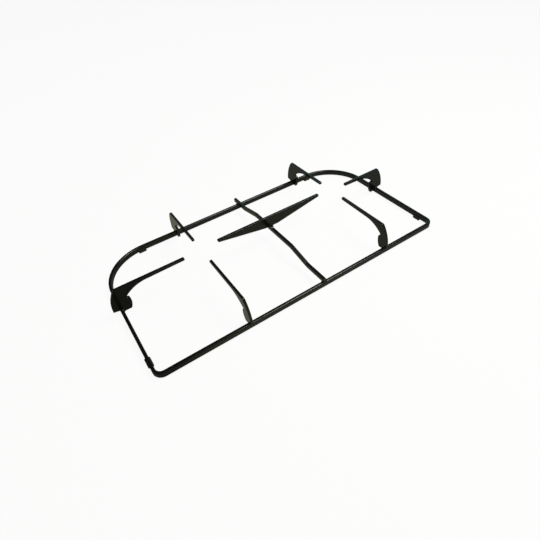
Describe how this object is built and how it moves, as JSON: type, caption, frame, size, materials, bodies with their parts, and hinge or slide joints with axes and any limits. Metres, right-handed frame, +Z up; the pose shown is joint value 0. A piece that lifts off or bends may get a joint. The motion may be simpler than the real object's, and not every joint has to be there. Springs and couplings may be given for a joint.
{
  "type": "hob pan support",
  "caption": "Low welded grid of black enamelled steel strip and plate that carries pans over two gas burners, on small rubber feet.",
  "frame": {"origin": "middle of the part's plan, on the surface that the feet stand on", "axes": "+X along the long side to the right, +Y from the straight front to the back with its wide bends, +Z up towards the pan"},
  "size_m": [0.466, 0.242, 0.047],
  "materials": {
    "enamelled_steel": "semi-gloss black vitreous enamel on steel",
    "rubber": "satin black rubber"
  },
  "bodies": {
    "root": {"frame": "enamelled_steel", "cross_bar": "enamelled_steel", "left_finger": "enamelled_steel", "right_finger": "enamelled_steel", "back_left_finger": "enamelled_steel", "back_right_finger": "enamelled_steel", "front_left_finger": "enamelled_steel", "front_right_finger": "enamelled_steel", "double_finger": "enamelled_steel", "front_left_foot": "rubber", "front_right_foot": "rubber", "back_left_foot": "rubber", "back_right_foot": "rubber"}
  },
  "joints": []
}
